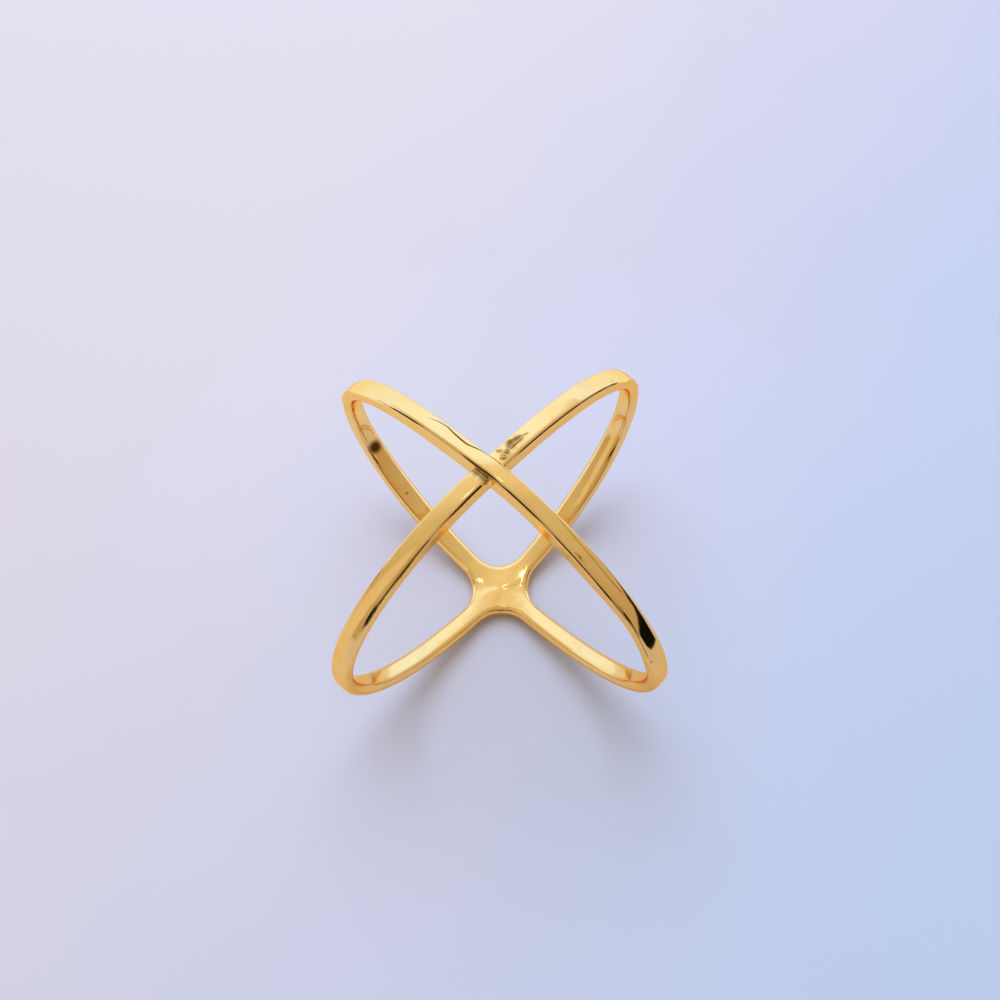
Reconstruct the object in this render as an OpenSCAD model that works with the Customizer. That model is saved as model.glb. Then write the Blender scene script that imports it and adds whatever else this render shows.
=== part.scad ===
// Criss-cross finger ring: two slanted oval bands in one soldered piece.
// The finger goes in along Y. The crossing of the front is at the top, and the
// broad joint at the palm side lies on the ground plane Z = 0.

/* [Size] */
// Radius of the middle of the metal, seen along the finger
mid_radius = 9.35; // [8:0.05:11]
// Reach of the over band along the finger, at its far lobe
over_far = 10.08; // [8.5:0.01:12]
// Reach of the over band along the finger, at its near lobe
over_near = 9.42; // [8.5:0.01:12]
// Reach of the under band along the finger, at its far lobe
under_far = 10.02; // [8.5:0.01:12]
// Reach of the under band along the finger, at its near lobe
under_near = 8.83; // [8.5:0.01:12]
// How much the bands flatten towards the crossings, 1 being a plane oval
bend = 1.046; // [1:0.002:1.1]

/* [Band section] */
// Thickness of the metal at the front crossing
front_thick = 1.2; // [0.9:0.02:1.5]
// Thickness of the metal at the four lobes
lobe_thick = 0.86; // [0.6:0.02:1.2]
// Thickness of the metal at the palm side
palm_thick = 1.08; // [0.8:0.02:1.4]
// Width of the band at the front crossing
front_wide = 1.16; // [0.9:0.02:1.6]
// Width of the band at the four lobes
lobe_wide = 1.3; // [0.9:0.02:1.6]
// Width of the band at the palm side
palm_wide = 1.36; // [0.9:0.02:1.6]
// Extra width halfway to the far lobes, on the front side
far_front_more = 0.1; // [0:0.02:0.3]
// Extra width halfway to the far lobes, on the palm side
far_palm_more = 0.2; // [0:0.02:0.3]
// Cut of the long edges at the front crossing
front_cut = 0.12; // [0.05:0.01:0.25]
// Cut of the long edges at the four lobes
lobe_cut = 0.2; // [0.05:0.01:0.25]
// Cut of the long edges at the palm side
palm_cut = 0.24; // [0.05:0.01:0.35]

/* [Front crossing] */
// How far the over band stands out there
over_lift = 0.06; // [0:0.01:0.3]
// How far the under band dips there
under_dip = 0.18; // [0.05:0.01:0.3]
// Angle round the finger over which they lift and dip
lift_spread = 20; // [12:1:30]

/* [Palm joint] */
// Width of the joint across the finger, between its hollow sides
joint_across = 3.88; // [3:0.02:4.6]
// Width of the joint along the finger, between its hollow sides
joint_along = 3.7; // [2.8:0.02:4.2]
// How far the joint stands proud of the bands, inside and outside
joint_proud = 0.08; // [0.08:0.01:0.15]
// Depth of the flat that the joint lies on
joint_flat = 0.05; // [0.02:0.005:0.05]

/* [Fineness] */
// Sections round each band
sections = 96; // [64:8:128]

/* [Hidden] */
$fn = 96;
// Rows of the band table: reach at +X, reach at -X, slant sign, lift at the front
REACH_RIGHT = 0;
REACH_LEFT = 1;
SLANT = 2;
LIFT = 3;
OVER = [over_near, over_far, -1, over_lift];
UNDER = [under_far, under_near, 1, -under_dip];
// The palm sides of the bands are set apart a hair, so that no faces coincide
palm_step = 0.02;
outline_slack = 0.04;
far = 40;

function power(v, e) = sign(v) * pow(abs(v), e);
function mean_reach(band) = (band[REACH_RIGHT] + band[REACH_LEFT]) / 2;
function reach(band, t) =
    mean_reach(band) + (band[REACH_RIGHT] - band[REACH_LEFT]) / 2 * cos(t);
function bump(t, top) = exp(-pow((t - top) / lift_spread, 2));
function radius(band, t) =
    mid_radius + band[LIFT] * bump(t, 90) - band[SLANT] * palm_step * bump(t, 270);
// Middle of the metal at angle t: 90 is the front crossing, 270 the palm joint
function middle(band, t) = [
    radius(band, t) * cos(t),
    band[SLANT] * reach(band, t) * power(cos(t), bend),
    radius(band, t) * sin(t)
];
// A size that goes from the lobes to the front above and to the palm below
function blend(t, front, lobe, palm) =
    lobe + ((sin(t) > 0 ? front : palm) - lobe) * pow(sin(t), 2);
// Width of the band at angle t, more on the way to its far lobe
function wide(band, t) =
    let (
        far_side = band[SLANT] * cos(t) > 0,
        more = sin(t) > 0 ? far_front_more : far_palm_more
    )
    blend(t, front_wide, lobe_wide, palm_wide) + (far_side ? more : 0) * pow(sin(2 * t), 2);
function unit(v) = v / norm(v);
function along(band, t) = unit(middle(band, t + 0.5) - middle(band, t - 0.5));
// Across the band, square to the plane that its oval lies in
function across(band) =
    unit([-band[SLANT] * mean_reach(band), mid_radius, 0]);
function outward(band, t) =
    let (n = unit(cross(across(band), along(band, t))))
    n * middle(band, t) > 0 ? n : -n;
// Half section as [outward, across] pairs, a rectangle with cut corners
function corners(band, t) =
    let (
        a = blend(t, front_thick, lobe_thick, palm_thick) / 2,
        b = wide(band, t) / 2,
        c = blend(t, front_cut, lobe_cut, palm_cut)
    )
    [
        [a, b - c], [a - c, b], [c - a, b], [-a, b - c],
        [-a, c - b], [c - a, -b], [a - c, -b], [a, c - b]
    ];
CORNERS = 8;
function band_points(band) = [
    for (i = [0 : sections - 1])
        let (t = 360 * i / sections, m = middle(band, t), o = outward(band, t))
        for (k = corners(band, t)) m + k[0] * o + k[1] * across(band)
];
// Two triangles for each side of each section
function band_faces() = [
    for (i = [0 : sections - 1], k = [0 : CORNERS - 1])
        let (
            a = i * CORNERS + k,
            b = i * CORNERS + (k + 1) % CORNERS,
            c = (i + 1) % sections * CORNERS + (k + 1) % CORNERS,
            d = (i + 1) % sections * CORNERS + k
        )
        for (f = [[a, c, b], [a, d, c]]) f
];

// Place of the whole: its box is centred on X and Y and stands on Z = 0
ALL = concat(band_points(OVER), band_points(UNDER));
function middle_of(axis) =
    (min([for (p = ALL) p[axis]]) + max([for (p = ALL) p[axis]])) / 2;
palm_outside = mid_radius + palm_thick / 2 + joint_proud;
palm_inside = mid_radius - palm_thick / 2 - joint_proud;
palm_rest = palm_outside - joint_flat;
PLACE = [-middle_of(0), -middle_of(1), palm_rest];

// Slant of the arms from X at the palm joint, and the fillets between them
arm_angle = atan(mean_reach(OVER) / mid_radius * 0.96);
arm_half = palm_wide / 2 - outline_slack;
function fillet(half_gap, half_angle) =
    (half_gap - arm_half / sin(half_angle)) / (1 / sin(half_angle) - 1);
side_fillet = fillet(joint_across / 2, arm_angle);
end_fillet = fillet(joint_along / 2, 90 - arm_angle);
side_centre = joint_across / 2 + side_fillet;
end_centre = joint_along / 2 + end_fillet;
// Where the fillet beside an arm runs out, as a distance along the arm
side_run = side_centre * cos(arm_angle);
end_run = end_centre * cos(90 - arm_angle);

function on_arm(angle, run, offset) = [
    run * cos(angle) - offset * sin(angle),
    run * sin(angle) + offset * cos(angle)
];

module joint_outline() {
    difference() {
        polygon([
            on_arm(arm_angle, side_run, -arm_half),
            on_arm(arm_angle, end_run, arm_half),
            on_arm(180 - arm_angle, end_run, -arm_half),
            on_arm(180 - arm_angle, side_run, arm_half),
            on_arm(180 + arm_angle, side_run, -arm_half),
            on_arm(180 + arm_angle, end_run, arm_half),
            on_arm(-arm_angle, end_run, -arm_half),
            on_arm(-arm_angle, side_run, arm_half)
        ]);
        for (s = [-1, 1]) {
            translate([s * side_centre, 0])
                circle(side_fillet);
            translate([0, s * end_centre])
                circle(end_fillet);
        }
    }
}

module palm_joint() {
    intersection() {
        translate([0, 0, -palm_rest])
            linear_extrude(palm_rest)
                joint_outline();
        rotate([90, 0, 0])
            difference() {
                cylinder(r = palm_outside, h = far, center = true);
                cylinder(r = palm_inside, h = far + 2, center = true);
            }
    }
}

module band(row) {
    polyhedron(band_points(row), band_faces(), convexity = 6);
}

module ring() {
    color([0.88, 0.68, 0.33])
        translate(PLACE)
            union() {
                band(OVER);
                band(UNDER);
                palm_joint();
            }
}

ring();
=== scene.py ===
import math

import bpy
import numpy as np
from mathutils import Matrix, Vector


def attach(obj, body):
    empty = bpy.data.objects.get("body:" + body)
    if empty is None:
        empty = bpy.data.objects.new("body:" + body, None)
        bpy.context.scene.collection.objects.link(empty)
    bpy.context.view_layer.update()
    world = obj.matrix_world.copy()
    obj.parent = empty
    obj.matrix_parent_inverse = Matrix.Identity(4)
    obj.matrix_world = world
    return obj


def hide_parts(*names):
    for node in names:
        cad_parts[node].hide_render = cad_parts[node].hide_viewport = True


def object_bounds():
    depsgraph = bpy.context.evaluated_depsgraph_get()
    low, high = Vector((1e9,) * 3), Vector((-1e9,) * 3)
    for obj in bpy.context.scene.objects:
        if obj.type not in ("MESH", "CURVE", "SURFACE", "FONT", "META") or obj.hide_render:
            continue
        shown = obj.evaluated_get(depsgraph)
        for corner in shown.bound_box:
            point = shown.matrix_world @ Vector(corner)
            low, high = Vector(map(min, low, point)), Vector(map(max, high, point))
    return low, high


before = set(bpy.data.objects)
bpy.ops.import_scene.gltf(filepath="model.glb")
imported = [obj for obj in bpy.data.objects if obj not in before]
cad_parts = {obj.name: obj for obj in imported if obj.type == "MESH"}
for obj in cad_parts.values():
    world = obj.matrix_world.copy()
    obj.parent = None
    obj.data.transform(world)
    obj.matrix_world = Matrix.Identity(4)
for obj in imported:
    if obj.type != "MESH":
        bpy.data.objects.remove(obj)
cad_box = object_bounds()

# Driving sizes of the ring in millimetres, the same as the solid's
MM = 0.001
MID_RADIUS = 9.35
BEND = 1.046
LIFT_SPREAD = 20.0
PALM_STEP = 0.02
# Each band: reach along the finger at +X and at -X, slant, lift at the front,
# and growth of its facet towards the near lobe
OVER = {"right": 9.42, "left": 10.08, "slant": -1.0, "lift": 0.06, "facet": -0.035}
UNDER = {"right": 10.02, "left": 8.83, "slant": 1.0, "lift": -0.18, "facet": 0.03}
# Section sizes at the front crossing, at the lobes, where the polished metal is a
# little fuller than the solid, and at the palm side
THICK = (1.2, 0.95, 1.08)
WIDE = (1.16, 1.4, 1.36)
# Rounding of the long edges at the same places
EDGE = (0.13, 0.34, 0.4)
# Crown of the outer and inner faces there, from their middle to their edges
CROWN = (0.02, 0.13, 0.015)
# Narrow facet along the outer edge that looks to -Y: its cut at the front, its
# tilt in degrees on the near and far arms, the cosines between which the tilt
# changes, and the rounding of its borders
FACET_CUT = 0.105
FACET_TILT = (45.0, 51.0)
TILT_FADE = (-0.06, 0.1)
FACET_EDGE = 0.045
# It fades in between these sines of the angle above the lobes. Below them it lies
# FACET_AWAY outside the edge, and where it is cut it is FACET_LEAST deep or more.
FACET_FADE = (0.08, 0.4)
FACET_AWAY = 0.1
FACET_LEAST = 0.02
# The over band's near wall leans in towards the outer face
LEAN = 0.14
# The under band's end drops at the near wall of the over band
SHOULDER = 0.1
SHOULDER_RUN = 0.5
SHOULDER_POWER = 2.5
# Hollow in the under band's face beyond the over band: its three corners as
# run from the over band's wall and place across the face, and its wall slope
SCOOP_CORNERS = ((0.76, -0.13), (2.82, -0.05), (1.37, 0.45))
SCOOP_SLOPE = 0.8
# Solder beads in the crook of the crossing: place and radius
BEADS = ((0.84, 0.62, 9.74, 0.15), (1.05, 1.0, 9.73, 0.12), (0.62, 1.1, 9.7, 0.14))
BEAD_FILLET = 0.08
# How far from both bands, or from a bead, the crook reaches
CROOK = 0.3
BEAD_ZONE = 0.2
# Extra width halfway to the far lobes, on the front and on the palm side
FAR_MORE = (0.1, 0.2)
# The over band's near side draws in on its way to the near lobe: at what angle,
# over what spread, and by how much
WAIST = (34.0, 13.0, 0.17)
# The palm joint: widths between its hollow sides, its swelling, and how far that
# reaches
JOINT_ACROSS = 3.88
JOINT_ALONG = 3.7
JOINT_SWELL = 0.14
JOINT_SPREAD = 2.4
# The solid's joint stands that proud, and the flat that it rests on is that deep
JOINT_PROUD = 0.08
JOINT_FLAT = 0.05
PALM_REST = MID_RADIUS + THICK[2] / 2 + JOINT_PROUD - JOINT_FLAT
REST_EDGE = 0.03
# The arms leave the joint at a little less than the slant of the ovals
ARM_BOW = 0.96
# How softly and how steeply one arm's surface gives way to the other's there
SHARE_SOFT = 0.04
SHARE_STEEP = 1.25
# Solder fillet of the front crossing
SOLDER = 0.14
FRONT = 90.0
PALM = 270.0
# Steps in which the nearest place along a band is found
PLACE_ROUNDS = 8

# Below, t is an angle in degrees round the finger, 90 at the front crossing and
# 270 at the palm. p holds points, and high and side are places in a section, out
# from the middle of the metal and along the finger.


def cosd(t):
    return np.cos(np.radians(t))


def sind(t):
    return np.sin(np.radians(t))


def unit(v):
    return v / np.linalg.norm(v, axis=-1, keepdims=True)


def blend(t, sizes):
    """A size that goes from the lobes to the front above and the palm below."""
    front, lobe, palm = sizes
    s = sind(t)
    return lobe + (np.where(s > 0, front, palm) - lobe) * s * s


def on_far_side(band, t):
    return band["slant"] * cosd(t) > 0


def wide(band, t):
    """Width of the band at angle t, more on the way to its far lobe."""
    more = np.where(sind(t) > 0, *FAR_MORE) * on_far_side(band, t)
    return blend(t, WIDE) + more * sind(2 * t) ** 2


def fade(x, start, end):
    """0 before the start, 1 after the end, smooth between."""
    x = np.clip((x - start) / (end - start), 0, 1)
    return x * x * (3 - 2 * x)


def facet_cut(band, t):
    """Depth of the narrow facet, none past the lobes."""
    s = sind(t)
    share = fade(s, *FACET_FADE)
    near = np.where(on_far_side(band, t), 0, band["facet"])
    return (FACET_CUT + near * (1 - s * s)) * share - FACET_AWAY * (1 - share)


def crispness(cut):
    """0 where the facet lies outside the edge, 1 where it is cut."""
    return fade(cut, -FACET_AWAY, FACET_LEAST)


def facet_tilt(band, t):
    near, far = FACET_TILT
    c = band["slant"] * cosd(t)
    return near + (far - near) * fade(c, *TILT_FADE)


def crown(band, t, side):
    """How far the faces sink there, towards their edges."""
    return blend(t, CROWN) * np.minimum((2 * side / wide(band, t)) ** 2, 1)


def lean(band, t):
    return (LEAN if band is OVER else 0.0) * np.maximum(sind(t), 0) ** 2


def waist(band, t):
    place, spread, less = WAIST
    return (less if band is OVER else 0.0) * np.exp(-(((t - place) / spread) ** 2))


def mean_reach(band):
    return (band["right"] + band["left"]) / 2


def middle(band, t):
    """Middle of the metal at angle t: 90 is the front crossing, 270 the palm."""
    c = cosd(t)
    reach = mean_reach(band) + (band["right"] - band["left"]) / 2 * c
    r = MID_RADIUS + band["lift"] * np.exp(-(((t - FRONT) / LIFT_SPREAD) ** 2))
    r = r - band["slant"] * PALM_STEP * np.exp(-(((t - PALM) / LIFT_SPREAD) ** 2))
    y = band["slant"] * reach * np.sign(c) * np.abs(c) ** BEND
    return np.stack([r * c, y, r * sind(t)], -1)


def along(band, t):
    return unit(middle(band, t + 0.5) - middle(band, t - 0.5))


def across(band):
    return unit(np.array([-band["slant"] * mean_reach(band), MID_RADIUS, 0.0]))


def outward(band, t):
    normal = unit(np.cross(across(band), along(band, t)))
    return normal * np.sign((normal * middle(band, t)).sum(-1, keepdims=True))


# Distance from the metal's surface, negative inside

def band_place(band, p):
    """Angle along the band nearest to p, and p's place in its section."""
    t = np.degrees(np.arctan2(p[:, 2], p[:, 0])) % 360.0
    for _ in range(PLACE_ROUNDS):
        pace = (middle(band, t + 0.1) - middle(band, t - 0.1)) / 0.2
        t = t + ((p - middle(band, t)) * pace).sum(1) / (pace * pace).sum(1)
        t = t % 360.0
    offset = p - middle(band, t)
    return t, (offset * outward(band, t)).sum(1), offset @ across(band)


def rounded(first, second, edge):
    """Distance from two walls that meet in a rounded edge, from those of each."""
    past = np.hypot(np.maximum(first + edge, 0), np.maximum(second + edge, 0))
    return past + np.minimum(np.maximum(first + edge, second + edge), 0) - edge


def filleted(first, second, radius):
    """Distance from two shapes joined with a hollow fillet, from those of each."""
    near = np.hypot(np.maximum(radius - first, 0), np.maximum(radius - second, 0))
    return np.maximum(radius, np.minimum(first, second)) - near


def face_drop(band, side, p):
    """Drops of the under band's outer face on both sides of the over band."""
    if band is OVER:
        return 0.0
    half = WIDE[0] / 2
    reach = p @ across(OVER)
    share = np.clip(1 - (-reach - half) / SHOULDER_RUN, 0, 1)
    shoulder = SHOULDER * share ** SHOULDER_POWER * (p[:, 0] < 0)
    run = reach - half
    depth = np.ones(len(p))
    for k in range(3):
        (run0, side0), (run1, side1) = SCOOP_CORNERS[k], SCOOP_CORNERS[(k + 1) % 3]
        length = math.hypot(run1 - run0, side1 - side0)
        inside = ((side - side0) * (run1 - run0) - (run - run0) * (side1 - side0)) / length
        depth = np.minimum(depth, inside)
    return shoulder + SCOOP_SLOPE * np.maximum(depth, 0)


def band_distance(band, p):
    """Distance from one band's metal with its faces, edges and facet."""
    t, high, side = band_place(band, p)
    half_thick = blend(t, THICK) / 2
    slack = (lean(band, t) * (high / half_thick + 1) / 2 + waist(band, t)) * (side < 0)
    wall = np.abs(side) - wide(band, t) / 2 + slack
    face = np.where(high > 0, high + face_drop(band, side, p), -high)
    face = face - half_thick + crown(band, t, side)
    metal = rounded(wall, face, np.where((side < 0) & (high > 0), FACET_EDGE, blend(t, EDGE)))
    soft = rounded(wall, face, blend(t, EDGE))
    tilt = facet_tilt(band, t)
    facet = np.where(side < 0, wall, -1.0) * sind(tilt)
    facet = facet + np.where(high > 0, face, -1.0) * cosd(tilt) + facet_cut(band, t)
    crisp = crispness(facet_cut(band, t))
    return soft + (rounded(metal, facet, FACET_EDGE) - soft) * crisp


def fillet_radius(gap, half_angle):
    """Radius of the hollow side between two arms, from the joint's width there."""
    lengthened = 1 / math.sin(half_angle)
    return (gap / 2 - WIDE[2] / 2 * lengthened) / (lengthened - 1)


ARM_ANGLE = math.atan(mean_reach(OVER) / MID_RADIUS * ARM_BOW)
SIDE_FILLET = fillet_radius(JOINT_ACROSS, ARM_ANGLE)
END_FILLET = fillet_radius(JOINT_ALONG, math.pi / 2 - ARM_ANGLE)


def palm_distance(p):
    """The four arms run together in one rounded plate."""
    t1, high1, side1 = band_place(OVER, p)
    t2, high2, side2 = band_place(UNDER, p)
    wall1 = np.abs(side1) - wide(OVER, t1) / 2
    wall2 = np.abs(side2) - wide(UNDER, t2) / 2
    x, y = p[:, 0], p[:, 1]
    from_joint = x * x + y * y
    turn = (x * x - y * y) / (from_joint + 1e-6)
    radius = (SIDE_FILLET + END_FILLET) / 2 + (SIDE_FILLET - END_FILLET) / 2 * turn
    wall = filleted(wall1, wall2, radius)
    share = (side2 * side2 + SHARE_SOFT) / (side1 * side1 + side2 * side2 + 2 * SHARE_SOFT)
    share = fade((share - 0.5) * SHARE_STEEP + 0.5, 0, 1)
    high = share * high1 + (1 - share) * high2
    t = share * t1 + (1 - share) * t2
    swell = JOINT_SWELL / 2 * np.exp(-from_joint / JOINT_SPREAD ** 2)
    sink = share * crown(OVER, t1, side1) + (1 - share) * crown(UNDER, t2, side2)
    face = np.abs(high) - blend(t, THICK) / 2 - swell + sink
    metal = rounded(wall, face, blend(t, EDGE))
    return rounded(metal, -PALM_REST - p[:, 2], REST_EDGE)


def front_distance(p):
    """Both bands with their solder and the beads."""
    metal = filleted(band_distance(OVER, p), band_distance(UNDER, p), SOLDER)
    for *place, radius in BEADS:
        bead = np.linalg.norm(p - place, axis=1) - radius
        metal = filleted(metal, bead, BEAD_FILLET)
    return metal


def distance(p):
    top = p[:, 2] > 0
    out = np.empty(len(p))
    if top.any():
        out[top] = front_distance(p[top])
    if (~top).any():
        out[~top] = palm_distance(p[~top])
    return out


def slope(p, step=1e-4):
    """Direction in which the distance grows."""
    growth = np.empty_like(p)
    for axis in range(3):
        shift = np.zeros(3)
        shift[axis] = step
        growth[:, axis] = (distance(p + shift) - distance(p - shift)) / (2 * step)
    return growth


# The ring's mesh: two closed tubes of quads that share the vertices of both
# crossings. A section is a grid of GRID by GRID cells seen from its boundary,
# and the cells of both bands lie in one block where they cross.

EDGE_STEPS = 3
FLAT_STEPS = 10
GRID = 2 * EDGE_STEPS + FLAT_STEPS
ARM_STEPS = 100
# Levels by which the over band stands above the under band at the front
STEP_UP = 4
# Angle on both sides of a crossing in which the block's grid lines are sought
WINDOW = 30
WINDOW_STEPS = 2400
BANDS = (OVER, UNDER)
MEAN_FILLET = (SIDE_FILLET + END_FILLET) / 2
# Half side of the square in the middle of the palm joint
JOINT_HALF = WIDE[2] / 2 + MEAN_FILLET * (1 - math.sqrt(0.5))


def grid_line(half, edge):
    """Places of the grid lines across a face, and how far they sink there."""
    index = np.arange(GRID + 1)
    near = np.minimum(index, GRID - index)
    angle = np.maximum(EDGE_STEPS - near, 0) / EDGE_STEPS * math.pi / 4
    inner = 1 - 2 * (near - EDGE_STEPS) / FLAT_STEPS
    place = half - edge + edge * np.sin(angle)
    place = np.where(near < EDGE_STEPS, place, (half - edge) * inner)
    return np.where(index * 2 < GRID, -place, place), edge * (1 - np.cos(angle))


def boundary():
    """Cells round a section as pairs of grid points (across, level)."""
    for k in range(GRID):
        yield (k, GRID), (k + 1, GRID)
        yield (k, 0), (k + 1, 0)
        yield (0, k), (0, k + 1)
        yield (GRID, k), (GRID, k + 1)


# Shares of the facet's legs, back from the edge and down from the edge
FACET_ROWS = ((0.5, 0.5), (0.82, 0.18), (1.0, 0.03), (1.3, 0.0))


def section(band, t, half_wide):
    """Points of the section at angle t, by grid point."""
    half_thick = float(blend(t, THICK)) / 2
    radius = float(blend(t, EDGE))
    side, side_sink = grid_line(half_wide, radius)
    high, high_sink = grid_line(half_thick, radius)
    centre, up, aside = middle(band, t), outward(band, t), across(band)
    points = {}
    for k in range(GRID + 1):
        points[k, GRID] = centre + (half_thick - side_sink[k]) * up + side[k] * aside
        points[k, 0] = centre - (half_thick - side_sink[k]) * up + side[k] * aside
        points[0, k] = centre + high[k] * up - (half_wide - high_sink[k]) * aside
        points[GRID, k] = centre + high[k] * up + (half_wide - high_sink[k]) * aside
    cut = float(facet_cut(band, t))
    crisp = float(crispness(cut))
    if crisp > 0:
        # Rows of the narrow facet: its middle, its border, the rounding, the face
        tilt = float(facet_tilt(band, t))
        cut = max(cut, FACET_LEAST)
        face, wall = cut / sind(tilt), cut / cosd(tilt)
        slack = float(lean(band, t))
        for near in range(EDGE_STEPS + 1):
            back_face, sink = face * FACET_ROWS[near][0], wall * FACET_ROWS[near][1]
            back_wall, inset = wall * FACET_ROWS[near][0], face * FACET_ROWS[near][1]
            on_face = centre + (half_thick - sink) * up - (half_wide - back_face - slack) * aside
            on_wall = centre + (half_thick - back_wall) * up - (half_wide - inset - slack) * aside
            for key, point in (((near, GRID), on_face), ((0, GRID - near), on_wall)):
                points[key] = points[key] + crisp * (point - points[key])
        start = points[EDGE_STEPS, GRID]
        end = points[GRID - EDGE_STEPS, GRID]
        for k in range(EDGE_STEPS + 1, GRID - EDGE_STEPS):
            points[k, GRID] = start + (end - start) * (k - EDGE_STEPS) / FLAT_STEPS
        end = points[0, GRID - EDGE_STEPS]
        start = points[0, EDGE_STEPS]
        for k in range(EDGE_STEPS + 1, GRID - EDGE_STEPS):
            points[0, k] = start + (end - start) * (k - EDGE_STEPS) / FLAT_STEPS
    return points


def stations(band, other, crossing):
    """Angle and half width of each section on both sides of a crossing."""
    window = np.linspace(crossing - WINDOW, crossing + WINDOW, WINDOW_STEPS + 1)
    reach = middle(band, window) @ across(other)
    order = np.argsort(reach)
    at_front = crossing == FRONT
    half = WIDE[0] / 2 if at_front else JOINT_HALF
    lines, _ = grid_line(half, EDGE[0] if at_front else EDGE[2])
    block = np.interp(lines, reach[order], window[order])
    up = block[-1] > block[0]
    ends = (crossing - 90, crossing + 90) if up else (crossing + 90, crossing - 90)
    # Closer together near the crossing than near the lobes
    part = np.arange(1, ARM_STEPS + 1) / ARM_STEPS
    part = (part + part * part) / 2
    before = block[0] + (ends[0] - block[0]) * part[::-1]
    after = block[-1] + (ends[1] - block[-1]) * part
    angles = np.concatenate([before, block, after])
    halves = wide(band, angles) / 2
    if not at_front:
        run = np.abs(middle(band, angles) @ across(other))
        near = np.clip(MEAN_FILLET - (run - WIDE[2] / 2), 0, MEAN_FILLET)
        hollow = MEAN_FILLET - np.sqrt(MEAN_FILLET ** 2 - near ** 2)
        halves = np.minimum(halves + hollow, JOINT_HALF)
    return angles, halves


def build_ring():
    """Corner points and quads of the whole ring, one closed surface."""
    index = {}
    sums = []
    counts = []
    quads = []
    for crossing in (FRONT, PALM):
        base = (STEP_UP, 0) if crossing == FRONT else (0, 0)

        def filled(number, column, row, level):
            """Whether a cell of the block is metal of that band."""
            inside = column if number == 0 else row
            return 0 <= inside < GRID and 0 <= level - base[number] < GRID

        for which, band in enumerate(BANDS):
            angles, halves = stations(band, BANDS[1 - which], crossing)
            rows = [section(band, t, half) for t, half in zip(angles, halves)]
            last = len(rows) - 1
            added = set()

            def in_block(column, station):
                """The block's column and row of a place on this band."""
                step = station - ARM_STEPS
                return (column, step) if which == 0 else (step, column)

            def corner(station, column, level):
                """Number of the vertex at a station and grid point."""
                if station in (0, last):
                    key = ("lobe", which, station == last, column, level)
                else:
                    key = (crossing, *in_block(column, station), level + base[which])
                if key not in index:
                    index[key] = len(sums)
                    sums.append(np.zeros(3))
                    counts.append(0)
                if (station, column, level) not in added:
                    added.add((station, column, level))
                    sums[index[key]] += rows[station][column, level]
                    counts[index[key]] += 1
                return index[key]

            for station in range(last):
                for start, end in boundary():
                    # Cell of this band behind the quad, and the one beyond it
                    column, level = min(start[0], GRID - 1), min(start[1], GRID - 1)
                    past_column, past_level = column, level
                    if start[0] == end[0]:
                        past_column = -1 if start[0] == 0 else GRID
                    else:
                        past_level = -1 if start[1] == 0 else GRID
                    cell = in_block(column, station)
                    past = in_block(past_column, station)
                    if which == 1 and filled(0, *cell, level + base[which]):
                        continue
                    if filled(1 - which, *past, past_level + base[which]):
                        continue
                    quads.append((corner(station, *start), corner(station, *end),
                                  corner(station + 1, *end), corner(station + 1, *start)))
    return np.array(sums) / np.array(counts)[:, None], np.array(quads)


def settle(points, rounds=4):
    """Move the points onto the ring's surface."""
    p = points.copy()
    for _ in range(rounds):
        growth = slope(p)
        p -= (distance(p) / (growth * growth).sum(1))[:, None] * growth
    return p


def relax(points, quads, moved, rounds=12):
    """Even out the quads round the moved points, along the ring's surface."""
    ends = np.concatenate([quads[:, [0, 1]], quads[:, [1, 2]], quads[:, [2, 3]], quads[:, [3, 0]]])
    ends = ends[moved[ends[:, 0]]]
    count = np.bincount(ends[:, 0], minlength=len(points))[moved][:, None]
    p = points.copy()
    for _ in range(rounds):
        mean = np.stack([np.bincount(ends[:, 0], p[ends[:, 1], axis], len(p))[moved]
                         for axis in range(3)], -1) / count
        p[moved] += 0.5 * (mean - p[moved])
        p[moved] = settle(p[moved], 1)
    p[moved] = settle(p[moved], 2)
    return p


def face_out(points, quads, normals):
    """Turn the quads so that all of them face out of the metal."""
    a, b, c, d = (points[quads[:, k]] for k in range(4))
    inward = (np.cross(c - a, d - b) * normals[quads].sum(1)).sum(1) < 0
    return np.where(inward[:, None], quads[:, ::-1], quads)


def in_crook(p):
    """Whether points lie where the bands meet at the front, or at a bead."""
    gaps = np.maximum(np.abs(band_distance(OVER, p)), np.abs(band_distance(UNDER, p)))
    near_bead = [np.linalg.norm(p - place, axis=1) < radius + BEAD_ZONE for *place, radius in BEADS]
    return (p[:, 2] > 0) & ((gaps < CROOK) | np.any(near_bead, 0))


def from_axis(p):
    """Distance from the upright line through both crossings."""
    return np.hypot(p[:, 0], p[:, 1])


# Reach of both crossings from that line, and of the palm joint
CROSSING_ZONE = 5.0
JOINT_ZONE = 3.0

ring_points, ring_quads = build_ring()
near = from_axis(ring_points) < CROSSING_ZONE
ring_points[near] = settle(ring_points[near])
ring_points[~near] = settle(ring_points[~near], 2)
joint = (from_axis(ring_points) < JOINT_ZONE) & (ring_points[:, 2] < 0)
ring_points = relax(ring_points, ring_quads, joint)
ring_points = relax(ring_points, ring_quads, in_crook(ring_points), 8)
ring_normals = unit(slope(ring_points))
ring_quads = face_out(ring_points, ring_quads, ring_normals)


# Place in the shared frame: middle of the solid's box, resting on the floor

def ring_place():
    low, high = ring_points.min(0), ring_points.max(0)
    cad_middle = (cad_box[0] + cad_box[1]) / 2 / MM
    return np.array([cad_middle.x - (low[0] + high[0]) / 2,
                     cad_middle.y - (low[1] + high[1]) / 2,
                     PALM_REST])


PLACE = ring_place()


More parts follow.
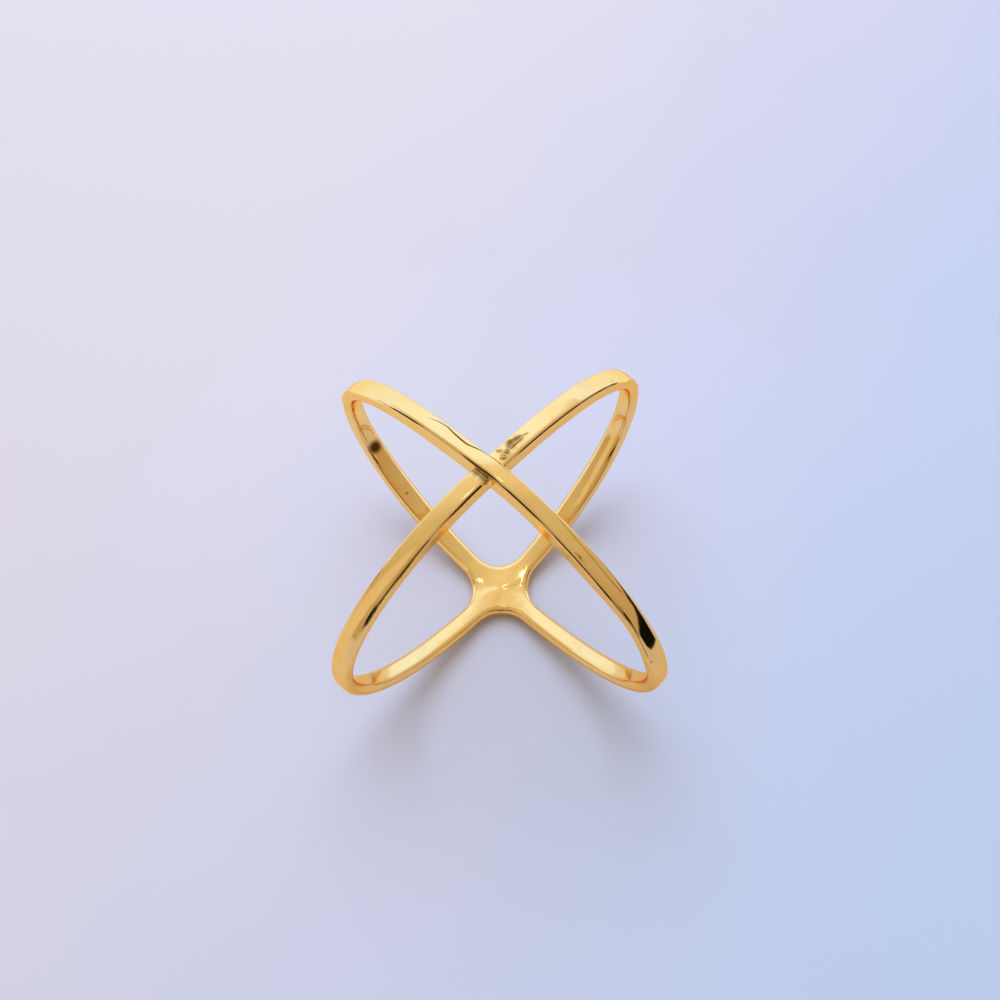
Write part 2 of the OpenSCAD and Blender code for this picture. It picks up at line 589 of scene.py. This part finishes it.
def make_ring():
    mesh = bpy.data.meshes.new("gold_ring")
    mesh.from_pydata(((ring_points + PLACE) * MM).tolist(), [], ring_quads.tolist())
    mesh.polygons.foreach_set("use_smooth", [True] * len(mesh.polygons))
    mesh.update()
    mesh.normals_split_custom_set_from_vertices(ring_normals.tolist())
    # For the grooves darkened with painted shade: half turns round the over band, and the place in its
    # section
    turn, high, side = band_place(OVER, ring_points)
    place = mesh.attributes.new("over_place", "FLOAT_VECTOR", "POINT")
    place.data.foreach_set("vector", np.stack([turn / 180, side, high], -1).ravel())
    ring = bpy.data.objects.new("gold_ring", mesh)
    bpy.context.collection.objects.link(ring)
    return ring


# Materials

GOLD_TONES = ((0.3, (0.95, 0.635, 0.23)), (0.7, (0.98, 0.695, 0.28)))
EDGE_TONE = (1.0, 0.74, 0.42)
# Dark brown of the grooves' painted shade and of the dark spots
DARK_SPOT_AND_SHADE_TONE = (0.11, 0.04, 0.008)
# Noise over the gold: its scale, detail and, for the patches, roughness
TONE_NOISE = (700.0, 4.0)
PATCH_NOISE = (450.0, 5.0, 0.65)
GRAIN_NOISE = (9000.0, 2.0)
WAVE_NOISE = (900.0, 2.0)
# Strength and depth of the bumps
WAVE_BUMP = (0.25, 0.06 * MM)
GRAIN_BUMP = (0.12, 0.01 * MM)
SEAM_BUMP = (0.5, 0.02 * MM)
# Grooves along the over band's outer face, darkened with painted shade: angle, place across the face, half
# width. The near one lies along the near edge at the front crossing.
NEAR_SHADED_GROOVE = ((0.0, -0.37, 0.0), (83.0, -0.37, 0.0), (86.0, -0.37, 0.03), (88.0, -0.37, 0.05),
             (92.0, -0.37, 0.05), (95.0, -0.37, 0.035), (98.0, -0.37, 0.0), (180.0, -0.37, 0.0))
FAR_SHADED_GROOVE = ((0.0, 0.3, 0.0), (43.5, 0.3, 0.0), (45.5, 0.27, 0.014), (50.0, 0.226, 0.012),
            (54.0, 0.24, 0.012), (62.0, 0.3, 0.012), (68.0, 0.4, 0.010), (72.0, 0.5, 0.0),
            (84.0, 0.43, 0.0), (86.3, 0.444, 0.010), (87.6, 0.5, 0.012), (91.0, 0.547, 0.012),
            (93.3, 0.515, 0.018), (95.2, 0.42, 0.028), (97.8, 0.267, 0.040), (100.0, 0.28, 0.045),
            (102.7, 0.335, 0.038), (105.3, 0.421, 0.025), (108.2, 0.367, 0.020),
            (110.5, 0.228, 0.010), (111.5, 0.16, 0.0), (180.0, 0.2, 0.0))
# Enlargement of the half width in its curve, the least half width, the softness
# of the border in half widths, and how high the seams lie above the metal's middle
SEAM_SCALE = 10
SEAM_LEAST = 0.002
SEAM_SOFT = 1.6
SEAM_HIGH = 0.3
# Small dark spots: place, radius and strength. The fourth to the eighth are painted shade where the under
# band meets the over band at the front, by the beads and in the hollow beyond the over band.
SPOTS_AND_SHADE = ((-8.39, 8.96, -3.35, 0.72, 1.0), (7.63, 7.33, 6.47, 0.1, 0.8), (8.71, -9.5, 3.28, 0.12, 0.6),
          (-0.6, -0.22, 9.8, 0.5, 0.6), (-0.25, -0.57, 9.8, 0.5, 0.6),
          (1.3, 1.45, 9.62, 0.48, 0.55), (1.7, 1.8, 9.58, 0.42, 0.4), (1.0, 0.8, 9.75, 0.45, 0.3),
          (-6.47, 6.63, -6.25, 0.2, 0.5))
# Share of a dark spot's radius that is fully dark
SPOT_CORE = 0.3
# Roughness of the polish, and how much more there is in the painted dark grooves and spots
GOLD_ROUGHNESS = ((0.35, (0.07,) * 3), (0.65, (0.13,) * 3))
DARK_ROUGH = 0.3
# Floor: half its side, its tones from the far left to the near right, the way
# that they follow, the grain mixed in, and its polish
FLOOR_HALF = 0.6
FLOOR_TONES = ((0.0, (0.64, 0.61, 0.70)), (0.5, (0.56, 0.58, 0.75)), (1.0, (0.46, 0.57, 0.80)))
FLOOR_WAY = (12.0, -8.0, 0.0)
FLOOR_NOISE = (60.0, 4.0)
FLOOR_GRAIN = 0.2
FLOOR_MIDDLE = 0.4
FLOOR_ROUGH = 0.45
FLOOR_GLOSS = 0.3
# Tones of it that mirror rays see, less blue: a painted warm tint of its reflections in the gold
FLOOR_MIRRORED = ((0.0, (0.75, 0.75, 0.85)), (1.0, (0.63, 0.60, 0.69)))


def new_material(name):
    material = bpy.data.materials.new(name)
    material.use_nodes = True
    nodes = material.node_tree.nodes
    return material, nodes, material.node_tree.links, nodes["Principled BSDF"]


def noise(nodes, links, vector, scale, detail, rough=0.5):
    node = nodes.new("ShaderNodeTexNoise")
    node.inputs["Scale"].default_value = scale
    node.inputs["Detail"].default_value = detail
    node.inputs["Roughness"].default_value = rough
    links.new(vector, node.inputs["Vector"])
    return node.outputs["Fac"]


def ramp(nodes, links, value, stops):
    """Colours at places from 0 to 1 along a value."""
    node = nodes.new("ShaderNodeValToRGB")
    elements = node.color_ramp.elements
    while len(elements) < len(stops):
        elements.new(0.5)
    for element, (place, color) in zip(elements, stops):
        element.position = place
        element.color = (*color, 1.0)
    links.new(value, node.inputs["Fac"])
    return node.outputs["Color"]


def bump(nodes, links, height, strength, depth, under=None):
    node = nodes.new("ShaderNodeBump")
    node.inputs["Strength"].default_value = strength
    node.inputs["Distance"].default_value = depth
    links.new(height, node.inputs["Height"])
    if under is not None:
        links.new(under, node.inputs["Normal"])
    return node.outputs["Normal"]


def math_node(nodes, links, operation, *values):
    node = nodes.new("ShaderNodeMath")
    node.operation = operation
    for slot, value in zip(node.inputs, values):
        if isinstance(value, (int, float)):
            slot.default_value = value
        else:
            links.new(value, slot)
    return node.outputs["Value"]


def curve(nodes, links, value, rows):
    """A size from 0 to 1 along a value, through the rows."""
    node = nodes.new("ShaderNodeFloatCurve")
    points = node.mapping.curves[0].points
    points[0].location = rows[0]
    points[1].location = rows[-1]
    for row in rows[1:-1]:
        points.new(*row)
    for point in points:
        point.handle_type = "VECTOR"
    node.mapping.update()
    links.new(value, node.inputs["Value"])
    return node.outputs["Value"]


def shaded_groove_share(nodes, links, rows):
    """1 along a fine groove in the over band's outer face, darkened with painted shade, 0 elsewhere.

    Both curves hold values from 0 to 1: the groove's place moved up by half, and its half width enlarged.
    """
    place = nodes.new("ShaderNodeAttribute")
    place.attribute_name = "over_place"
    split = nodes.new("ShaderNodeSeparateXYZ")
    links.new(place.outputs["Vector"], split.inputs[0])
    turn, side, high = split.outputs
    path = curve(nodes, links, turn, [(t / 180, y + 0.5) for t, y, _ in rows])
    half = curve(nodes, links, turn, [(t / 180, w * SEAM_SCALE) for t, _, w in rows])
    off = math_node(nodes, links, "ADD", math_node(nodes, links, "SUBTRACT", side, path), 0.5)
    off = math_node(nodes, links, "ABSOLUTE", off)
    half = math_node(nodes, links, "MULTIPLY", half, 1 / SEAM_SCALE)
    open_there = math_node(nodes, links, "GREATER_THAN", half, SEAM_LEAST)
    half = math_node(nodes, links, "MAXIMUM", half, SEAM_LEAST)
    share = math_node(nodes, links, "SUBTRACT", SEAM_SOFT, math_node(nodes, links, "DIVIDE", off, half))
    clamp = nodes.new("ShaderNodeClamp")
    links.new(share, clamp.inputs["Value"])
    outside = math_node(nodes, links, "GREATER_THAN", high, SEAM_HIGH)
    share = math_node(nodes, links, "MULTIPLY", clamp.outputs[0], open_there)
    return math_node(nodes, links, "MULTIPLY", share, outside)


def spot_and_shade_share(nodes, links, place):
    """Up to 1 in the small dark spots, some of them painted shade, 0 elsewhere."""
    total = None
    for *spot, radius, strength in SPOTS_AND_SHADE:
        away = nodes.new("ShaderNodeVectorMath")
        away.operation = "DISTANCE"
        away.inputs[1].default_value = (np.array(spot) + PLACE) * MM
        links.new(place, away.inputs[0])
        spread = nodes.new("ShaderNodeMapRange")
        spread.interpolation_type = "SMOOTHSTEP"
        for name, value in (("From Min", radius * MM), ("From Max", radius * MM * SPOT_CORE),
                            ("To Min", 0.0), ("To Max", strength)):
            spread.inputs[name].default_value = value
        links.new(away.outputs["Value"], spread.inputs["Value"])
        share = spread.outputs["Result"]
        total = share if total is None else math_node(nodes, links, "MAXIMUM", total, share)
    return total


def gold_material():
    """Polished yellow gold with faint mottling, two grooves darkened with painted shade, and small dark
    spots, some of them painted shade.
    """
    material, nodes, links, shader = new_material("gold")
    place = nodes.new("ShaderNodeTexCoord").outputs["Object"]
    tone = ramp(nodes, links, noise(nodes, links, place, *TONE_NOISE), GOLD_TONES)
    shaded_groove = math_node(nodes, links, "MAXIMUM", shaded_groove_share(nodes, links, FAR_SHADED_GROOVE),
                     shaded_groove_share(nodes, links, NEAR_SHADED_GROOVE))
    # Painted shade of the grooves and the dark spots, mixed into the gold's colour
    dark = math_node(nodes, links, "MAXIMUM", shaded_groove, spot_and_shade_share(nodes, links, place))
    mix = nodes.new("ShaderNodeMix")
    mix.data_type = "RGBA"
    links.new(dark, mix.inputs["Factor"])
    links.new(tone, mix.inputs["A"])
    mix.inputs["B"].default_value = (*DARK_SPOT_AND_SHADE_TONE, 1.0)
    links.new(mix.outputs["Result"], shader.inputs["Base Color"])
    patch = noise(nodes, links, place, *PATCH_NOISE)
    rough = ramp(nodes, links, patch, GOLD_ROUGHNESS)
    rough = math_node(nodes, links, "MULTIPLY_ADD", dark, DARK_ROUGH, rough)
    links.new(rough, shader.inputs["Roughness"])
    shader.inputs["Metallic"].default_value = 1.0
    shader.inputs["Specular Tint"].default_value = (*EDGE_TONE, 1.0)
    grain = noise(nodes, links, place, *GRAIN_NOISE)
    wave = noise(nodes, links, place, *WAVE_NOISE)
    soft = bump(nodes, links, wave, *WAVE_BUMP)
    fine = bump(nodes, links, grain, *GRAIN_BUMP, soft)
    groove = math_node(nodes, links, "SUBTRACT", 1.0, shaded_groove)
    links.new(bump(nodes, links, groove, *SEAM_BUMP, fine), shader.inputs["Normal"])
    return material


def floor_material():
    material, nodes, links, shader = new_material("pale_floor")
    place = nodes.new("ShaderNodeTexCoord").outputs["Object"]
    across_floor = nodes.new("ShaderNodeVectorMath")
    across_floor.operation = "DOT_PRODUCT"
    across_floor.inputs[1].default_value = FLOOR_WAY
    links.new(place, across_floor.inputs[0])
    grain = noise(nodes, links, place, *FLOOR_NOISE)
    tone = math_node(nodes, links, "MULTIPLY_ADD", grain, FLOOR_GRAIN, across_floor.outputs["Value"])
    tone = math_node(nodes, links, "ADD", tone, FLOOR_MIDDLE)
    mix = nodes.new("ShaderNodeMix")
    mix.data_type = "RGBA"
    links.new(nodes.new("ShaderNodeLightPath").outputs["Is Glossy Ray"], mix.inputs["Factor"])
    links.new(ramp(nodes, links, tone, FLOOR_TONES), mix.inputs["A"])
    links.new(ramp(nodes, links, tone, FLOOR_MIRRORED), mix.inputs["B"])
    links.new(mix.outputs["Result"], shader.inputs["Base Color"])
    shader.inputs["Roughness"].default_value = FLOOR_ROUGH
    shader.inputs["Specular IOR Level"].default_value = FLOOR_GLOSS
    return material


def make_floor():
    mesh = bpy.data.meshes.new("floor")
    corners = [(x * FLOOR_HALF, y * FLOOR_HALF, 0) for x, y in ((-1, -1), (1, -1), (1, 1), (-1, 1))]
    mesh.from_pydata(corners, [], [(0, 1, 2, 3)])
    floor = bpy.data.objects.new("floor", mesh)
    bpy.context.collection.objects.link(floor)
    floor.data.materials.append(floor_material())


ring = make_ring()
ring.data.materials.append(gold_material())
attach(ring, "root")
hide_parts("ring")
make_floor()


# Camera, from the fit of the ring to the photo

PHOTO_WIDTH = 1000.0
SENSOR = 36.0
# Place of the ring's centre in the photo, and pixels per millimetre there
CENTRE_PX = (495.21, 538.60)
PX_PER_MM = 15.654
CAMERA_AWAY = 65.15
# Degrees that the view is turned, pitched from straight down, and rolled
TURN = -1.177
PITCH = 25.912
ROLL = 2.007


def make_camera():
    data = bpy.data.cameras.new("camera")
    data.sensor_width = SENSOR
    data.lens = SENSOR * PX_PER_MM * CAMERA_AWAY / PHOTO_WIDTH
    data.clip_start = MM
    camera = bpy.data.objects.new("camera", data)
    turned = (Matrix.Rotation(math.radians(-TURN), 3, "Y")
              @ Matrix.Rotation(math.radians(PITCH), 3, "X")
              @ Matrix.Rotation(math.radians(-ROLL), 3, "Z"))
    back = Vector(((PHOTO_WIDTH / 2 - CENTRE_PX[0]) / PX_PER_MM,
                   (CENTRE_PX[1] - PHOTO_WIDTH / 2) / PX_PER_MM,
                   CAMERA_AWAY))
    place = (turned @ back + Vector(PLACE)) * MM
    camera.matrix_world = Matrix.Translation(place) @ turned.to_4x4()
    bpy.context.collection.objects.link(camera)
    bpy.context.scene.camera = camera


make_camera()


# Light: a soft sky, bright behind the ring, dimmer and warmer in front of it

# Colour of the sky by how near a direction is to its bright middle
SKY_MIDDLE = (-0.1, 0.85, 0.5)
SKY = ((0.0, (0.50, 0.36, 0.23)), (0.35, (0.54, 0.43, 0.30)), (0.60, (0.62, 0.53, 0.40)),
       (0.80, (0.70, 0.64, 0.52)), (0.88, (0.86, 0.80, 0.72)), (0.918, (0.93, 0.86, 0.78)),
       (0.945, (1.02, 1.19, 1.55)), (1.0, (1.06, 1.25, 1.75)))
# Its colour where the camera sees it
SKY_SEEN = (0.62, 0.64, 0.80)
# Cool light from above and behind, which mirror rays don't see
KEY_PLACE = (-0.03, 0.17, 0.33)
KEY_SIZE = 0.30
KEY_POWER = 0.9
KEY_COLOR = (0.80, 0.88, 1.0)
# Small lamp that glints on the palm joint
LAMP_WAY = (-0.06, 0.21, 0.97)
LAMP_AWAY = 0.35
LAMP_SIZE = 0.02
LAMP_POWER = 0.006
# Dark screens that only mirror rays see, round the ring's middle. Each row is a
# direction in degrees from +X and the screen's lowest and highest point there,
# in degrees above the middle. A reach is the range of lengths that a mirror ray
# has from the arm that the screen is meant for.
SCREEN_TONE = (0.004, 0.004, 0.004)
FAR_AWAY = 0.13
FAR_STEP = 2.0
BACK_SCREEN = ((55, -4, -4), (75, -4, -2.5), (100, -4, -4))
# One for the dark near edges of the near arms
MIDDLE_AWAY = 0.06
NEAR_ARM_SCREEN = ((-126, 17, 31), (-123, 16.5, 30), (-119, 15, 28), (-114, 12, 25), (-109, 7, 21.5),
                   (-105, 5, 18.5), (-100, 4, 19), (-96, -2, 16), (-92, -12, 13), (-88, -12, 11),
                   (-84, -7, 11), (-81, -2.5, 12), (-77, 3, 15), (-73, 7.5, 17), (-69, 11, 20),
                   (-64, 14.5, 23), (-59, 17, 26), (-57, 18, 27))
# Nearer ones for the far arms
NEAR_AWAY = 0.03
NEAR_STEP = 1.0
NEAR_REACH = (0.0, 0.035)
FAR_ARM_SCREENS = (
    ((-201, -2, 5.5), (-198, 1, 8.5), (-194, 3.5, 13), (-191, 5.5, 17), (-187, 7.5, 21), (-183, 9, 24)),
    ((-20, 7, 26), (-13, 7, 24.5), (-8, 7, 22.5), (-3, 7, 20), (2, 6.5, 17.5), (6, 6, 14.5),
     (11, 5, 11.5), (15, 1.5, 8), (18, -2, 5), (22, -5.5, 1.5), (25, -9, -2), (27, -12, -4)))
# The nearest ones: beside the crossing on three arms, at the near end of the
# over band's dark edge, and for the dark wedge beside it
NEAREST_AWAY = 0.016
NEAREST_STEP = 0.5
NEAREST_REACH = (0.0, 0.017)
CROSSING_REACH = (0.0155, 0.0245)
CROSSING_SCREENS = (
    ((-177, 34.5, 38), (-173, 34, 40), (-170, 33, 41), (-165, 33, 42)),
    ((-147, 40, 51), (-139, 39, 52), (-131, 38.5, 51), (-124, 38, 51), (-116, 37.5, 50), (-111, 37.5, 48)),
    ((-73, 34.5, 44), (-65, 35, 48), (-57, 36, 51), (-52, 36, 53), (-46, 36, 55), (-38, 36, 56),
     (-34, 36, 56)))
EDGE_SCREEN = ((-89, 19, 24), (-88, 17, 26), (-86, 8, 27), (-84, 0, 27), (-80, 0, 25),
               (-77, 0, 22), (-74, 0, 14), (-70, 1, 8), (-64, 2, 7), (-60, 4, 7))
WEDGE_SCREEN = ((-50, 17.7, 19), (-47, 14, 19.6), (-45, 11.3, 20.2), (-40, 10.6, 22.1), (-37.5, 10.6, 23.6),
                (-36, 14, 24.8), (-33, 16.7, 28.3), (-32, 17.4, 30.2), (-30, 18, 29.9),
                (-27, 18.7, 25.4), (-25.5, 18.7, 19.3))
# Bright cards that only mirror rays see, on the circle of the far arms' screens
BACK_CARD = ((28, -20, 28), (75, -20, 30), (100, -20, 26), (165, -20, 24))
BACK_GLOW = (0.98, 1.18, 1.65)
LEFT_CARD = ((-160, -20, 62), (-143, -20, 55))
LEFT_GLOW = (0.79, 0.70, 0.58)


def make_world():
    world = bpy.data.worlds.new("studio")
    bpy.context.scene.world = world
    world.use_nodes = True
    nodes = world.node_tree.nodes
    links = world.node_tree.links
    sky = nodes["Background"]
    direction = nodes.new("ShaderNodeTexCoord").outputs["Generated"]
    facing = nodes.new("ShaderNodeVectorMath")
    facing.operation = "DOT_PRODUCT"
    facing.inputs[1].default_value = Vector(SKY_MIDDLE).normalized()
    links.new(direction, facing.inputs[0])
    height = math_node(nodes, links, "MULTIPLY_ADD", facing.outputs["Value"], 0.5, 0.5)
    links.new(ramp(nodes, links, height, SKY), sky.inputs["Color"])
    plain = nodes.new("ShaderNodeBackground")
    plain.inputs["Color"].default_value = (*SKY_SEEN, 1.0)
    mix = nodes.new("ShaderNodeMixShader")
    links.new(nodes.new("ShaderNodeLightPath").outputs["Is Camera Ray"], mix.inputs["Fac"])
    links.new(sky.outputs[0], mix.inputs[1])
    links.new(plain.outputs[0], mix.inputs[2])
    links.new(mix.outputs[0], nodes["World Output"].inputs["Surface"])


def make_light(name, place, size, power, color, glossy):
    data = bpy.data.lights.new(name, "AREA")
    data.shape = "DISK"
    data.size = size
    data.energy = power
    data.color = color
    light = bpy.data.objects.new(name, data)
    bpy.context.collection.objects.link(light)
    light.location = place
    light.rotation_euler = (-Vector(place)).to_track_quat("-Z", "Y").to_euler()
    light.visible_camera = False
    light.visible_glossy = glossy


def only_for_one_arm(nodes, links, shader, reach):
    """Let rays pass through that come from nearer or further than the reach."""
    low, high = reach
    length = nodes.new("ShaderNodeLightPath").outputs["Ray Length"]
    within = math_node(nodes, links, "COMPARE", length, (low + high) / 2, (high - low) / 2)
    mix = nodes.new("ShaderNodeMixShader")
    links.new(within, mix.inputs["Fac"])
    links.new(nodes.new("ShaderNodeBsdfTransparent").outputs[0], mix.inputs[1])
    links.new(shader.outputs[0], mix.inputs[2])
    output = next(node for node in nodes if node.type == "OUTPUT_MATERIAL")
    links.new(mix.outputs[0], output.inputs["Surface"])


def make_screen(name, rows, away=NEAR_AWAY, step=NEAR_STEP, reach=None, glow=(0.0, 0.0, 0.0)):
    """A wall round the ring between the heights of its rows, dark or aglow.

    With a reach, only the arm that lies between its two distances mirrors the wall.
    """
    material, nodes, links, shader = new_material(name)
    shader.inputs["Base Color"].default_value = (*SCREEN_TONE, 1.0)
    shader.inputs["Emission Color"].default_value = (*glow, 1.0)
    shader.inputs["Emission Strength"].default_value = 1.0
    shader.inputs["Roughness"].default_value = 1.0
    shader.inputs["Specular IOR Level"].default_value = 0.0
    if reach:
        only_for_one_arm(nodes, links, shader, reach)
    turns, lows, highs = (np.array(column, float) for column in zip(*rows))
    corners = []
    steps = np.arange(turns[0], turns[-1] + step, step)
    for turn in steps:
        for heights in (lows, highs):
            up = np.interp(turn, turns, heights)
            z = PLACE[2] * MM + away * np.tan(np.radians(up))
            corners.append((away * cosd(turn), away * sind(turn), max(z, 0.0)))
    faces = [(2 * k, 2 * k + 2, 2 * k + 3, 2 * k + 1) for k in range(len(steps) - 1)]
    mesh = bpy.data.meshes.new(name)
    mesh.from_pydata(corners, [], faces)
    mesh.materials.append(material)
    screen = bpy.data.objects.new(name, mesh)
    bpy.context.collection.objects.link(screen)
    screen.visible_camera = False
    screen.visible_diffuse = False
    screen.visible_shadow = False


make_world()
make_light("key_light", KEY_PLACE, KEY_SIZE, KEY_POWER, KEY_COLOR, False)
make_light("lamp", Vector(LAMP_WAY) * LAMP_AWAY, LAMP_SIZE, LAMP_POWER, (1.0, 1.0, 1.0), True)
make_screen("back_screen", BACK_SCREEN, FAR_AWAY, FAR_STEP)
make_screen("near_arm_screen", NEAR_ARM_SCREEN, MIDDLE_AWAY, NEAR_STEP)
for number, rows in enumerate(FAR_ARM_SCREENS):
    make_screen(f"far_arm_screen_{number}", rows, reach=NEAR_REACH)
for number, rows in enumerate(CROSSING_SCREENS):
    make_screen(f"crossing_screen_{number}", rows, NEAREST_AWAY, NEAREST_STEP, CROSSING_REACH)
make_screen("edge_screen", EDGE_SCREEN, NEAREST_AWAY, NEAREST_STEP, NEAREST_REACH)
make_screen("wedge_screen", WEDGE_SCREEN, NEAREST_AWAY, NEAREST_STEP, NEAREST_REACH)
make_screen("back_card", BACK_CARD, glow=BACK_GLOW)
make_screen("left_card", LEFT_CARD, glow=LEFT_GLOW)

bpy.context.scene.view_settings.view_transform = "Standard"
